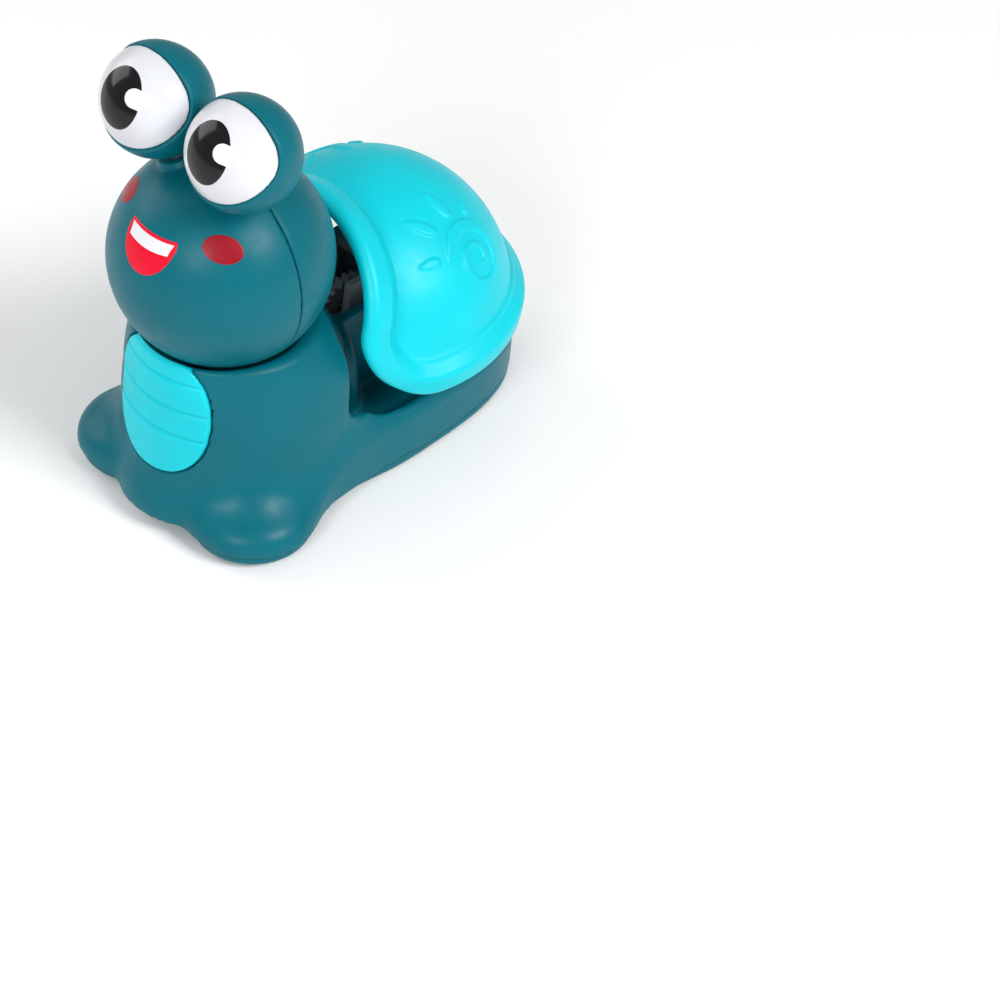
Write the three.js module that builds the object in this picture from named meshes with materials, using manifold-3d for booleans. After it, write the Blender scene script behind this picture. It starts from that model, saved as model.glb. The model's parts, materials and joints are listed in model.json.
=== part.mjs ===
// Push-and-go toy snail: the shell is a sprung push button over a rack, a gear train and a flywheel.
// Millimetres, +Z up. The snail faces -Y, and its left side is +X. The origin is on the floor, under the
// middle of the object.
import * as THREE from 'three';
import { mergeVertices } from 'three/addons/utils/BufferGeometryUtils.js';
import Module from 'manifold-3d';

const wasm = await Module();
wasm.setup();

// ---------------------------------------------------------------- driving dimensions
const R = 27;                        // radius of the head ball: the outer shapes are multiples of it
const WALL = 2.2;                    // wall of the moulded casings
const GAP = 0.3;                     // gap between pieces that touch
const AXIS_Y = -33.1;                // Y of the vertical axis of head and neck
const HEAD_Z = 2.55 * R;
const SEAM_Z = 4.6;                  // bottom edge of the body, on top of the base plate
const FLOOR_GAP = 1.0;               // the base plate hangs this far above the floor
const DECK_Z = 0.72 * R;             // floor of the pocket under the shell

const EYE = { x: 0.52 * R, y: AXIS_Y - 0.24 * R, z: HEAD_Z + 1.455 * R, r: 0.493 * R };
const EYE_PEG_R = 2.4;

const DOME = { y: AXIS_Y + 1.92 * R, z: 1.16 * R, r: 1.39 * R };
const SHELL_WALL = 2.4;

const MODULE = 0.8;                  // gear module
const SHAFT_R = 1.0;
const AXLE_R = 1.5;
const RUNNING = 0.12;                // radial clearance of a shaft in its hole
const WHEEL = { r: 8.5, width: 6.5, axleZ: 8.5, rearX: 18.5, frontX: 20.5, frontY: -28 };

// gear train: places in the YZ plane, teeth, and the layer along X that each gear fills
const RACK_TEETH = 12, SPUR_TEETH = 26, SWING_TEETH = 10, CATCH_TEETH = 14, DRIVE_TEETH = 24, PINION_TEETH = 10;
const pitchR = (teeth) => MODULE * teeth / 2;
const AXLE = { y: 36, z: WHEEL.axleZ };
const DRIVE_ANGLE = Math.PI * 0.70;  // direction from the rear axle to the drive gear
const DRIVE = polar(AXLE, pitchR(DRIVE_TEETH) + pitchR(PINION_TEETH), DRIVE_ANGLE);
const FLY_ANGLE = Math.PI * 0.547;   // direction from the drive gear to the flywheel
const FLY = polar(DRIVE, pitchR(DRIVE_TEETH) + pitchR(PINION_TEETH), FLY_ANGLE);
const SWING = { y: DRIVE.y - 11.9, z: DRIVE.z };
const RACK_ANGLE = Math.PI * 0.711;  // direction from the swing gear to the rack gear
const RACK = polar(SWING, pitchR(SPUR_TEETH) + pitchR(SWING_TEETH), RACK_ANGLE);
const LAYER = { fly: [-8.5, -3.5], drive: [-3, -0.4], spur: [0.2, 2.8], rack: [3.4, 6.4] };
const PLATE_X = { frame: [-10.9, -8.9], cover: [7.2, 9.2] };
const ROD = { y: 20.5, r: 2.8, bottom: 44.2 };
const FLANGE_Z = [62, 63.6];
const BRIDGE_Z = [43.4, 46];
const GUIDE_TOP = 52;
const TOWER = { halfX: 13.5, front: -10, back: 45, top: 42 };

function polar(from, distance, angle) {
  return { y: from.y + distance * Math.cos(angle), z: from.z + distance * Math.sin(angle) };
}

// ---------------------------------------------------------------- solids
const IDENTITY = new THREE.Matrix4();

function solid(geometry, matrix = IDENTITY) {
  let g = geometry.index ? geometry.clone() : geometry;
  g.deleteAttribute('normal');
  g.deleteAttribute('uv');
  g = mergeVertices(g.applyMatrix4(matrix), 1e-4);
  return new wasm.Manifold(new wasm.Mesh({
    numProp: 3,
    vertProperties: new Float32Array(g.attributes.position.array),
    triVerts: new Uint32Array(g.index.array),
  }));
}

function geometryOf(manifold) {
  const m = manifold.getMesh();
  const g = new THREE.BufferGeometry();
  g.setAttribute('position', new THREE.BufferAttribute(new Float32Array(m.vertProperties), 3));
  g.setIndex(new THREE.BufferAttribute(new Uint32Array(m.triVerts), 1));
  g.computeVertexNormals();
  return g;
}

const join = (first, ...others) => others.reduce((a, b) => a.add(b), first);
const cut = (first, ...others) => others.reduce((a, b) => a.subtract(b), first);
const move = (x, y, z) => new THREE.Matrix4().makeTranslation(x, y, z);
const mirrored = (manifold) => manifold.mirror([1, 0, 0]);

function box(x, y, z) {
  const g = new THREE.BoxGeometry(x[1] - x[0], y[1] - y[0], z[1] - z[0]);
  return solid(g, move((x[0] + x[1]) / 2, (y[0] + y[1]) / 2, (z[0] + z[1]) / 2));
}

function ball(r, x, y, z, segments = 32) {
  const turn = new THREE.Matrix4().makeRotationX(Math.PI / 2);
  return solid(new THREE.SphereGeometry(r, segments, segments / 2), move(x, y, z).multiply(turn));
}

// A cylinder from one height to another along Z.
function post(r, x, y, z, segments = 16) {
  const turn = new THREE.Matrix4().makeRotationX(Math.PI / 2);
  const g = new THREE.CylinderGeometry(r, r, z[1] - z[0], segments);
  return solid(g, move(x, y, (z[0] + z[1]) / 2).multiply(turn));
}

// A cylinder along X through a place in the YZ plane.
function shaft(r, place, x, segments = 16) {
  const turn = new THREE.Matrix4().makeRotationZ(Math.PI / 2);
  const g = new THREE.CylinderGeometry(r, r, x[1] - x[0], segments);
  return solid(g, move((x[0] + x[1]) / 2, place.y, place.z).multiply(turn));
}

// A profile of [radius, height] pairs, turned about the vertical line at x, y.
function turned(profile, x, y, segments = 40) {
  const g = new THREE.LatheGeometry(profile.map(([r, z]) => new THREE.Vector2(r, z)), segments);
  return solid(g, move(x, y, 0).multiply(new THREE.Matrix4().makeRotationX(Math.PI / 2)));
}

// An outline of [y, z] pairs, extruded along X.
function slab(outline, x) {
  const shape = new THREE.Shape(outline.map(([y, z]) => new THREE.Vector2(y, z)));
  const g = new THREE.ExtrudeGeometry(shape, { depth: x[1] - x[0], bevelEnabled: false });
  const axes = new THREE.Matrix4().makeBasis(
    new THREE.Vector3(0, 1, 0), new THREE.Vector3(0, 0, 1), new THREE.Vector3(1, 0, 0));
  return solid(g, move(x[0], 0, 0).multiply(axes));
}

// ---------------------------------------------------------------- body
// Half of the outline seen from above, in head radii from the head axis: toes, waist and tail.
const FOOTPRINT = [[0, -0.92], [0.26, -0.91], [0.46, -0.84], [0.72, -0.90], [1.07, -0.82], [1.29, -0.56],
  [1.33, -0.26], [1.22, 0.10], [1.08, 0.45], [1.12, 0.9], [1.20, 1.5], [1.18, 2.1], [1.05, 2.7], [0.72, 3.18], [0, 3.42]];

const TOE = [0.56, 0.54, 0.42];      // half sizes of a toe
const TOES = [[0, -0.38], [0.74, -0.32], [-0.74, -0.32]];

function footprint(inset) {
  const right = FOOTPRINT.map(([x, y]) => new THREE.Vector3(x * R, AXIS_Y + y * R, 0));
  const left = right.slice(1, -1).reverse().map((p) => new THREE.Vector3(-p.x, p.y, 0));
  const points = new THREE.CatmullRomCurve3([...right, ...left], true).getPoints(42).slice(0, -1);
  return new THREE.Shape(points.map((p, i) => {
    const before = points[(i + points.length - 1) % points.length];
    const after = points[(i + 1) % points.length];
    const along = new THREE.Vector2(after.x - before.x, after.y - before.y).normalize();
    return new THREE.Vector2(p.x - along.y * inset, p.y + along.x * inset);
  }));
}

// A plate of the outline above, with its top edge rounded.
function tray(inset, bottom, top, round) {
  const options = { depth: top - bottom - round, bevelEnabled: round > 0,
    bevelThickness: round, bevelSize: round, bevelOffset: -round, bevelSegments: 2 };
  const both = solid(new THREE.ExtrudeGeometry(footprint(inset), options), move(0, 0, bottom));
  return both.intersect(box([-60, 60], [-90, 90], [bottom, top + 1]));
}

function neckProfile(inset, top) {
  const profile = [[1.10, 0.80], [1.03, 1.04], [0.97, 1.23], [0.90, 1.44], [0.84, 1.66], [0.80, top]];
  return [[0, 0], [1.10 * R - inset, 0], ...profile.map(([r, z]) => [r * R - inset, z * R]), [0, top * R]];
}

function toe(x, y, inset) {
  const half = TOE.map((size) => size * R - inset);
  const place = move(x * R, AXIS_Y + y * R, SEAM_Z).multiply(new THREE.Matrix4().makeScale(...half));
  return solid(new THREE.SphereGeometry(1, 14, 8), place);
}

// The body without its openings. An inset form starts lower, so that it opens the body at the seam.
function bodyForm(inset) {
  const bottom = inset > 0 ? SEAM_Z - 2 : SEAM_Z;
  const lower = tray(inset, bottom, DECK_Z - inset, 5);
  const neck = turned(neckProfile(inset, 1.84), 0, AXIS_Y, 28);
  const toes = TOES.map(([x, y]) => toe(x, y, inset));
  return join(neck, ...toes).intersect(tray(inset, bottom, 2 * R, 0)).add(lower);
}

const BODY_SCREWS = [[24, -44], [-24, -44], [14, 50], [-14, 50]];
const PANEL = { z: 1.235 * R, halfX: 0.56 * R, halfZ: 0.52 * R, depth: 1.2 };

function panelWindow(grow) {
  const oval = new THREE.Shape();
  oval.absellipse(0, 0, PANEL.halfX + grow, PANEL.halfZ + grow, 0, 2 * Math.PI);
  const g = new THREE.ExtrudeGeometry(oval, { depth: 40, bevelEnabled: false, curveSegments: 9 });
  const turn = new THREE.Matrix4().makeRotationX(Math.PI / 2);
  return solid(g, move(0, AXIS_Y, PANEL.z).multiply(turn));
}

function tower(grow) {
  const y = [TOWER.front + grow, TOWER.back - grow];
  return box([-TOWER.halfX + grow, TOWER.halfX - grow], y, [SEAM_Z - grow, TOWER.top + grow]);
}

function bodyShell() {
  const dish = ball(R + 0.6, 0, AXIS_Y, HEAD_Z, 26);
  const hollow = cut(bodyForm(WALL), ball(R + 0.6 + WALL, 0, AXIS_Y, HEAD_Z, 18));
  let shell = cut(bodyForm(0).add(tower(0)), dish, hollow, tower(WALL));
  const within = bodyForm(1);
  for (const [x, y] of BODY_SCREWS) {
    const boss = post(3, x, y, [SEAM_Z, HEAD_Z], 12).intersect(within);
    shell = cut(shell.add(boss), post(1.3, x, y, [0, 12], 10));
  }
  shell = cut(shell, post(HEAD_PIN.r + RUNNING + 0.1, 0, AXIS_Y, [30, 50]));
  return cut(shell, panelWindow(GAP).subtract(bodyForm(PANEL.depth)));
}

function bellyPanel() {
  const skin = bodyForm(-0.35).subtract(bodyForm(PANEL.depth - GAP));
  return cut(skin.intersect(panelWindow(0)), ball(R + 0.9, 0, AXIS_Y, HEAD_Z, 26));
}

function basePlate() {
  const lower = tray(0.2, FLOOR_GAP, SEAM_Z - GAP, 0);
  const bevel = tray(0.2, -SEAM_Z + GAP, -FLOOR_GAP, 1.6).mirror([0, 0, 1]);
  let plate = lower.intersect(bevel);
  for (const side of [-1, 1]) {
    plate = cut(plate, wheelWell(side * WHEEL.rearX, AXLE.y), wheelWell(side * WHEEL.frontX, WHEEL.frontY));
    const bearing = box([side * 12 - 1.5, side * 12 + 1.5], [WHEEL.frontY - 4, WHEEL.frontY + 4], [4, 12]);
    plate = plate.add(bearing);
  }
  plate = cut(plate, shaft(AXLE_R + RUNNING, { y: WHEEL.frontY, z: WHEEL.axleZ }, [-15, 15]));
  plate = cut(plate, box([-3.6, 0.2], [AXLE.y - 6, AXLE.y + 6], [3, 6]));
  for (const [x, y] of BODY_SCREWS) {
    plate = cut(plate, post(2.6, x, y, [0, 2.6], 12), post(1.5, x, y, [0, 6], 12));
  }
  return plate;
}

function wheelWell(x, y) {
  const half = WHEEL.width / 2 + 0.8;
  return box([x - half, x + half], [y - WHEEL.r - 0.6, y + WHEEL.r + 0.6], [0, 6]);
}

// ---------------------------------------------------------------- snail shell
// The crease is where the dome ends and the rolled brim starts. It lies on the dome, and runs smoothly from an
// upright arch at the front to a level edge round the sides and back: both are planes that cut the dome.
const APEX = new THREE.Vector3(0, 0.6, 0.8);
const ACROSS = new THREE.Vector3(1, 0, 0);
const DOWN_BACK = new THREE.Vector3().crossVectors(APEX, ACROSS);
const CREASE = [cutPlane(0, 1, -0.375, -1.10 * R), cutPlane(0, -0.06, 1, 0.15 * R)];
const CREASE_SHARPNESS = 8;
const BRIM_FRONT = { out: 0.32 * R, up: 0.32 * R };   // outer edge of the brim, from the crease
const BRIM_SIDE = { out: 0.30 * R, up: 0.07 * R };
const BRIM_BULGE = 0.09 * R;

function cutPlane(x, y, z, reach) {
  const normal = new THREE.Vector3(x, y, z);
  return { normal: normal.clone().normalize(), reach: reach / normal.length() / DOME.r };
}

// A direction from the dome's centre: u turns about the apex, and angle leads away from it.
function domeDirection(u, angle) {
  const side = ACROSS.clone().multiplyScalar(Math.cos(u)).addScaledVector(DOWN_BACK, Math.sin(u));
  return APEX.clone().multiplyScalar(Math.cos(angle)).addScaledVector(side, Math.sin(angle));
}

function angleToPlane(u, { normal, reach }) {
  const a = normal.dot(APEX);
  const b = normal.dot(domeDirection(u, Math.PI / 2));
  const size = Math.hypot(a, b);
  const angle = size > Math.abs(reach) ? Math.atan2(b, a) + Math.acos(reach / size) : Math.PI;
  return angle > 0 ? Math.min(angle, Math.PI) : Math.PI;
}

function creaseAngle(u) {
  const sum = CREASE.reduce((total, one) => total + Math.exp(-CREASE_SHARPNESS * angleToPlane(u, one)), 0);
  return -Math.log(sum) / CREASE_SHARPNESS;
}

// Points of the crease at even distances, each with its direction and the way outwards across the brim.
function creaseStations(count) {
  const fine = 720;
  const loop = new THREE.CatmullRomCurve3(Array.from({ length: fine }, (_, i) => {
    const u = 2 * Math.PI * i / fine;
    return domeDirection(u, creaseAngle(u));
  }), true);
  loop.arcLengthDivisions = 4 * fine;
  return Array.from({ length: count }, (_, i) => {
    const direction = loop.getPointAt(i / count).normalize();
    const out = loop.getTangentAt(i / count).cross(direction).normalize();
    if (out.dot(APEX) > 0) out.negate();
    return { direction, out };
  });
}

// Keeps the arch of the brim clear of the head ball.
function clearOfHead(p, margin) {
  const from = new THREE.Vector2(p.x, p.y - AXIS_Y);
  const least = R + margin;
  if (p.z > HEAD_Z - R && from.length() < least) from.setLength(least);
  return new THREE.Vector3(from.x, from.y + AXIS_Y, p.z);
}

function onDome(direction, radius) {
  return direction.clone().multiplyScalar(radius).add(new THREE.Vector3(0, DOME.y, DOME.z));
}

// One line of the shell's skin, from the apex over the crease and round the brim, and back inside.
function shellLine({ direction, out }) {
  const frontness = THREE.MathUtils.smoothstep(-out.y, 0, 0.8);
  const mixed = (key) => THREE.MathUtils.lerp(BRIM_SIDE[key], BRIM_FRONT[key], frontness);
  const towards = (t) => APEX.clone().lerp(direction, t).normalize();
  const across = (t, sink) => {
    const rise = mixed('up') * t + BRIM_BULGE * Math.sin(Math.PI * t ** 0.7) - sink;
    return onDome(direction, DOME.r + rise).addScaledVector(out, mixed('out') * t);
  };
  const outside = [0.2, 0.42, 0.64, 0.84, 1].map((t) => onDome(towards(t), DOME.r));
  const brim = [0.22, 0.55, 0.85, 1].map((t) => across(t, 0));
  const lip = [0.96, 0.6].map((t) => across(t, SHELL_WALL));
  const inside = [1, 0.8, 0.6, 0.4, 0.2].map((t) => onDome(towards(t), DOME.r - SHELL_WALL));
  return [...outside, ...brim, ...lip, ...inside].map((p) => clearOfHead(p, 1.8));
}

function shellSkin(around) {
  const points = [onDome(APEX, DOME.r), onDome(APEX, DOME.r - SHELL_WALL)];
  const lines = creaseStations(around).map(shellLine);
  lines.forEach((line) => points.push(...line));
  const rows = lines[0].length;
  const at = (i, k) => 2 + (i % around) * rows + k;
  const faces = [];
  for (let i = 0; i < around; i++) {
    faces.push(0, at(i, 0), at(i + 1, 0));
    faces.push(1, at(i + 1, rows - 1), at(i, rows - 1));
    for (let k = 0; k + 1 < rows; k++) {
      faces.push(at(i, k), at(i, k + 1), at(i + 1, k + 1), at(i, k), at(i + 1, k + 1), at(i + 1, k));
    }
  }
  const g = new THREE.BufferGeometry().setFromPoints(points);
  g.setIndex(faces);
  return solid(g);
}

function snailShell() {
  let shell = shellSkin(44);
  for (const side of [-1, 1]) {
    const x = side * SHELL_SCREW.x;
    shell = shell.add(post(2.4, x, SHELL_SCREW.y, [FLANGE_Z[1] + GAP, DOME.z + DOME.r - 2.4], 12));
    shell = cut(shell, post(1.1, x, SHELL_SCREW.y, [FLANGE_Z[1], DOME.z + DOME.r - 2.9], 10));
  }
  return shell;
}

// ---------------------------------------------------------------- head and eyes
const HEAD_PIN = { r: 5, flange: 8, z: [36.5, 46.5] };
const EYE_DIR = new THREE.Vector3(EYE.x, EYE.y - AXIS_Y, EYE.z - HEAD_Z).normalize();

// Places a piece, made upright from the head's centre, along the peg of the left eye.
function alongPeg(manifold) {
  const turn = new THREE.Quaternion().setFromUnitVectors(new THREE.Vector3(0, 0, 1), EYE_DIR);
  const m = new THREE.Matrix4().makeRotationFromQuaternion(turn).setPosition(0, AXIS_Y, HEAD_Z);
  return manifold.transform(m.elements);
}

function headHalf(front) {
  const inner = R - WALL;
  const stalk = alongPeg(post(0.2 * R, 0, 0, [R - 1, R + 0.9], 20));
  const hole = alongPeg(post(EYE_PEG_R + 0.2, 0, 0, [R - 6, R + 3], 16));
  let head = ball(R, 0, AXIS_Y, HEAD_Z, 28).add(stalk).add(mirrored(stalk));
  head = cut(head, ball(inner, 0, AXIS_Y, HEAD_Z, 16), hole, mirrored(hole));
  head = cut(head, post(HEAD_PIN.r + GAP, 0, AXIS_Y, [36, 50]));
  const y = front ? [AXIS_Y - 2 * R, AXIS_Y - GAP / 2] : [AXIS_Y + GAP / 2, AXIS_Y + 2 * R];
  return head.intersect(box([-2 * R, 2 * R], y, [0, 200]));
}

function headPin() {
  const spigot = post(HEAD_PIN.r, 0, AXIS_Y, HEAD_PIN.z);
  const flange = post(HEAD_PIN.flange, 0, AXIS_Y, [HEAD_PIN.z[1], HEAD_PIN.z[1] + 2]);
  return cut(spigot.add(flange), post(1.2, 0, AXIS_Y, [30, 45], 12));
}

function headWasher() {
  const z = [HEAD_PIN.z[0] - 1.5, HEAD_PIN.z[0] - GAP];
  return cut(post(8, 0, AXIS_Y, z), post(1.7, 0, AXIS_Y, [30, 40], 12));
}

// A pan-head screw that points up: its head ends at z, and its shank is long and thin.
function screw(x, y, z, length, r, headR) {
  const head = post(headR, x, y, [z - 1.5, z], 8);
  const slot = box([x - headR, x + headR], [y - 0.4, y + 0.4], [z - 2, z - 0.9]);
  return cut(head.add(post(r, x, y, [z - 0.2, z + length], 6)), slot);
}

// The opening between the lids: in front of an upright upper lid, above a lower lid tilted by 45 degrees.
function lidOpening(grow) {
  const c = { x: EYE.x, y: EYE.y, z: EYE.z };
  const size = 3 * R;
  const upper = box([-size, size], [-size, -0.03 * EYE.r + grow], [-size, size]);
  const lower = box([-size, size], [-size, size], [0.22 * EYE.r - grow, size]);
  const tilt = new THREE.Matrix4().makeRotationX(Math.PI / 4);
  const both = upper.intersect(lower.transform(tilt.elements));
  return both.translate([c.x, c.y, c.z]);
}

function eyeWhite() {
  const at = [EYE.x, EYE.y, EYE.z];
  const dome = ball(EYE.r - 0.1, ...at, 22).intersect(lidOpening(0));
  const core = ball(EYE.r - 2.2, ...at, 14);
  const hollow = ball(EYE.r - 4.2, ...at, 10);
  const socket = alongPeg(post(EYE_PEG_R + GAP, 0, 0, [R, eyeDistance() - 3], 16));
  return cut(dome.add(core), hollow, socket);
}

function eyeCap() {
  const at = [EYE.x, EYE.y, EYE.z];
  const socket = alongPeg(post(EYE_PEG_R + GAP, 0, 0, [R, eyeDistance() - 3], 16));
  return cut(ball(EYE.r + 0.3, ...at, 22), ball(EYE.r - 1.7, ...at, 14), lidOpening(GAP), socket);
}

function eyeDistance() {
  return Math.hypot(EYE.x, EYE.y - AXIS_Y, EYE.z - HEAD_Z);
}

function eyePin() {
  const top = eyeDistance() - 6;
  const stem = post(EYE_PEG_R, 0, 0, [R - 6.5, top], 12);
  const collar = post(EYE_PEG_R + 1.3, 0, 0, [top - 1.4, top], 16);
  return alongPeg(stem.add(collar));
}

function eyeClip() {
  const ring = post(4.2, 0, 0, [R - 5.4, R - 4], 12);
  return alongPeg(cut(ring, post(EYE_PEG_R + 0.15, 0, 0, [R - 8, R], 16)));
}

// ---------------------------------------------------------------- mechanism
const SHELL_SCREW = { x: 5.6, y: ROD.y + 5 };

// Slim trapezoid teeth; one tooth points along the angle phase, measured from +Y towards +Z.
function gear(teeth, place, x, phase) {
  const pitch = Math.PI / (2 * teeth);
  const outline = [];
  for (let i = 0; i < teeth; i++) {
    const middle = phase + 2 * Math.PI * i / teeth;
    for (const [side, r] of [[-1.2, -1.05], [-0.38, 0.8], [0.38, 0.8], [1.2, -1.05]]) {
      const p = polar(place, pitchR(teeth) + r * MODULE, middle + side * pitch);
      outline.push([p.y, p.z]);
    }
  }
  return slab(outline, x);
}

// Phase of a gear that meshes with a driving gear, in the direction from the driving gear to it.
function meshPhase(drivingPhase, drivingTeeth, teeth, direction) {
  const offset = drivingPhase - direction;
  return direction + Math.PI + Math.PI / teeth - offset * drivingTeeth / teeth;
}

const DRIVE_PHASE = 0;
const AXLE_PHASE = meshPhase(DRIVE_PHASE, DRIVE_TEETH, PINION_TEETH, DRIVE_ANGLE + Math.PI);
const FLY_PHASE = meshPhase(DRIVE_PHASE, DRIVE_TEETH, PINION_TEETH, FLY_ANGLE);
const SPUR_PHASE = 0;
const SWING_PHASE = meshPhase(SPUR_PHASE, SPUR_TEETH, SWING_TEETH, RACK_ANGLE + Math.PI);

const bored = (manifold, place, r) => cut(manifold, shaft(r, place, [-2 * R, 2 * R]));

function rackGear() {
  const hub = shaft(2.6, RACK, [LAYER.spur[1] - 0.2, LAYER.rack[0] + 0.2]);
  const pinion = gear(RACK_TEETH, RACK, LAYER.rack, 0);
  return bored(join(gear(SPUR_TEETH, RACK, LAYER.spur, SPUR_PHASE), hub, pinion), RACK, SHAFT_R + RUNNING);
}

function swingGear() {
  return bored(gear(SWING_TEETH, SWING, LAYER.spur, SWING_PHASE), SWING, SHAFT_R + RUNNING);
}

function driveGear() {
  const hub = shaft(3.4, DRIVE, [LAYER.drive[1] - 0.2, LAYER.spur[0] + 0.2]);
  const both = join(gear(DRIVE_TEETH, DRIVE, LAYER.drive, DRIVE_PHASE), hub,
    gear(CATCH_TEETH, DRIVE, LAYER.spur, 0.1));
  return bored(both, DRIVE, SHAFT_R + RUNNING);
}

function flywheel() {
  const disc = shaft(9.4, FLY, LAYER.fly, 32);
  const recess = cut(shaft(7.4, FLY, [LAYER.fly[0] - 1, LAYER.fly[0] + 1.2], 28),
    shaft(3, FLY, [LAYER.fly[0] - 2, LAYER.fly[0] + 2], 16));
  const hub = shaft(2.6, FLY, [LAYER.fly[1] - 0.2, LAYER.drive[0] + 0.2]);
  const pinion = gear(PINION_TEETH, FLY, LAYER.drive, FLY_PHASE);
  return bored(join(cut(disc, recess), hub, pinion), FLY, SHAFT_R + RUNNING);
}

function axleGear() {
  return bored(gear(PINION_TEETH, AXLE, LAYER.drive, AXLE_PHASE), AXLE, AXLE_R + 0.1);
}

const PLATE_OUTLINE = [[0, 4.6], [44, 4.6], [44, 14], [37, 26], [33, 46], [2, 46], [0, 26]];

function plateHoles(plate) {
  for (const place of [RACK, SWING, DRIVE, FLY]) plate = bored(plate, place, SHAFT_R + RUNNING);
  return bored(plate, AXLE, AXLE_R + RUNNING);
}

const GEARBOX_SCREWS = [{ y: 3, z: 10 }, { y: 30.5, z: 43.5 }];

function gearboxFrame() {
  const plate = slab(PLATE_OUTLINE, PLATE_X.frame);
  const inner = [PLATE_X.frame[1] - 0.5, PLATE_X.cover[0] - GAP];
  const bridge = box(inner, [14, 32], BRIDGE_Z);
  const guide = post(3.9, 0, ROD.y, [BRIDGE_Z[1] - 0.5, GUIDE_TOP]);
  const spacer = shaft(2.6, GEARBOX_SCREWS[0], inner, 14);
  let frame = join(plateHoles(plate), bridge, guide, spacer);
  frame = cut(frame, post(ROD.r + 0.15, 0, ROD.y, [40, 55]));
  frame = cut(frame, box([LAYER.rack[0] - 0.4, LAYER.rack[1] + 0.5], [11, 16.2], [40, 50]));
  for (const place of GEARBOX_SCREWS) frame = cut(frame, shaft(0.9, place, [-6, 12], 10));
  return frame;
}

function gearboxCover() {
  let cover = plateHoles(slab(PLATE_OUTLINE, PLATE_X.cover));
  for (const place of GEARBOX_SCREWS) cover = cut(cover, shaft(1.2, place, [0, 12], 10));
  return cover;
}

function gearboxScrew(place) {
  const head = shaft(2.2, place, [PLATE_X.cover[1] + 0.1, PLATE_X.cover[1] + 1.5], 8);
  const slot = box([PLATE_X.cover[1] + 0.9, 12], [place.y - 3, place.y + 3], [place.z - 0.4, place.z + 0.4]);
  return cut(head.add(shaft(0.8, place, [-4, PLATE_X.cover[1] + 0.3], 6)), slot);
}

const pin = (place) => shaft(SHAFT_R, place, [PLATE_X.frame[0], PLATE_X.cover[1]], 16);

// Rod and rack hang from one flange that is screwed to the shell.
function plunger() {
  const flange = box([-7.6, 7.6], [ROD.y - 8, ROD.y + 7], FLANGE_Z);
  const rod = post(ROD.r, 0, ROD.y, [ROD.bottom, FLANGE_Z[0] + 0.5]);
  const pitchY = RACK.y + pitchR(RACK_TEETH);
  const root = pitchY + 1.05 * MODULE;
  const bar = box([LAYER.rack[0] + 0.05, LAYER.rack[1] - 0.05], [root, 15.7], [RACK.z - 3.4, FLANGE_Z[0] + 0.5]);
  let body = join(flange, rod, bar);
  const pitch = Math.PI * MODULE;
  for (let i = -1; i <= 4; i++) {
    const z = RACK.z + (i + 0.5) * pitch;
    const tooth = [[root + 0.2, z - 0.3 * pitch], [root + 0.2, z + 0.3 * pitch],
      [pitchY - 0.8 * MODULE, z + 0.095 * pitch], [pitchY - 0.8 * MODULE, z - 0.095 * pitch]];
    body = body.add(slab(tooth, [LAYER.rack[0] + 0.05, LAYER.rack[1] - 0.05]));
  }
  for (const side of [-1, 1]) {
    body = cut(body, post(1.3, side * SHELL_SCREW.x, SHELL_SCREW.y, [FLANGE_Z[0] - 1, FLANGE_Z[1] + 1], 12));
  }
  return body;
}

function returnSpring() {
  const turns = 6, stepsPerTurn = 8, wire = 0.5, coilR = 4.75;
  const z = [BRIDGE_Z[1] + GAP + wire, FLANGE_Z[0] - GAP - wire];
  const steps = turns * stepsPerTurn;
  const points = Array.from({ length: steps + 1 }, (_, i) => {
    const angle = 2 * Math.PI * i / stepsPerTurn;
    const height = z[0] + (z[1] - z[0]) * i / steps;
    return new THREE.Vector3(coilR * Math.cos(angle), ROD.y + coilR * Math.sin(angle), height);
  });
  const section = new THREE.Shape();
  section.absarc(0, 0, wire, 0, 2 * Math.PI);
  const path = new THREE.CatmullRomCurve3(points);
  return new THREE.ExtrudeGeometry(section, { steps, curveSegments: 3, extrudePath: path });
}

function wheel(x, y) {
  const place = { y, z: WHEEL.axleZ };
  const span = [x - WHEEL.width / 2, x + WHEEL.width / 2];
  const outer = x > 0 ? [span[1] - 1.2, span[1] + 1] : [span[0] - 1, span[0] + 1.2];
  const recess = cut(shaft(WHEEL.r - 2, place, outer, 20), shaft(3, place, outer, 16));
  return bored(cut(shaft(WHEEL.r, place, span, 28), recess), place, AXLE_R + 0.1);
}

// ---------------------------------------------------------------- assembly
const COLOURS = {
  body: new THREE.MeshStandardMaterial({ color: 0x00768c, roughness: 0.45, metalness: 0 }),
  shell: new THREE.MeshStandardMaterial({ color: 0x00dcee, roughness: 0.45, metalness: 0 }),
  eye_white: new THREE.MeshStandardMaterial({ color: 0xf4f4f8, roughness: 0.12, metalness: 0 }),
  inner: new THREE.MeshStandardMaterial({ color: 0xe6e6e0, roughness: 0.5, metalness: 0 }),
  wheel: new THREE.MeshStandardMaterial({ color: 0x202226, roughness: 0.7, metalness: 0 }),
  steel: new THREE.MeshStandardMaterial({ color: 0xb8bcc0, roughness: 0.3, metalness: 1 }),
};
const snail = new THREE.Group();

function add(name, shape, colour) {
  const mesh = new THREE.Mesh(shape.isBufferGeometry ? shape : geometryOf(shape), COLOURS[colour]);
  mesh.name = name;
  snail.add(mesh);
}

function addPair(name, leftShape, colour) {
  add(`${name}_left`, leftShape, colour);
  add(`${name}_right`, mirrored(leftShape), colour);
}

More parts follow.
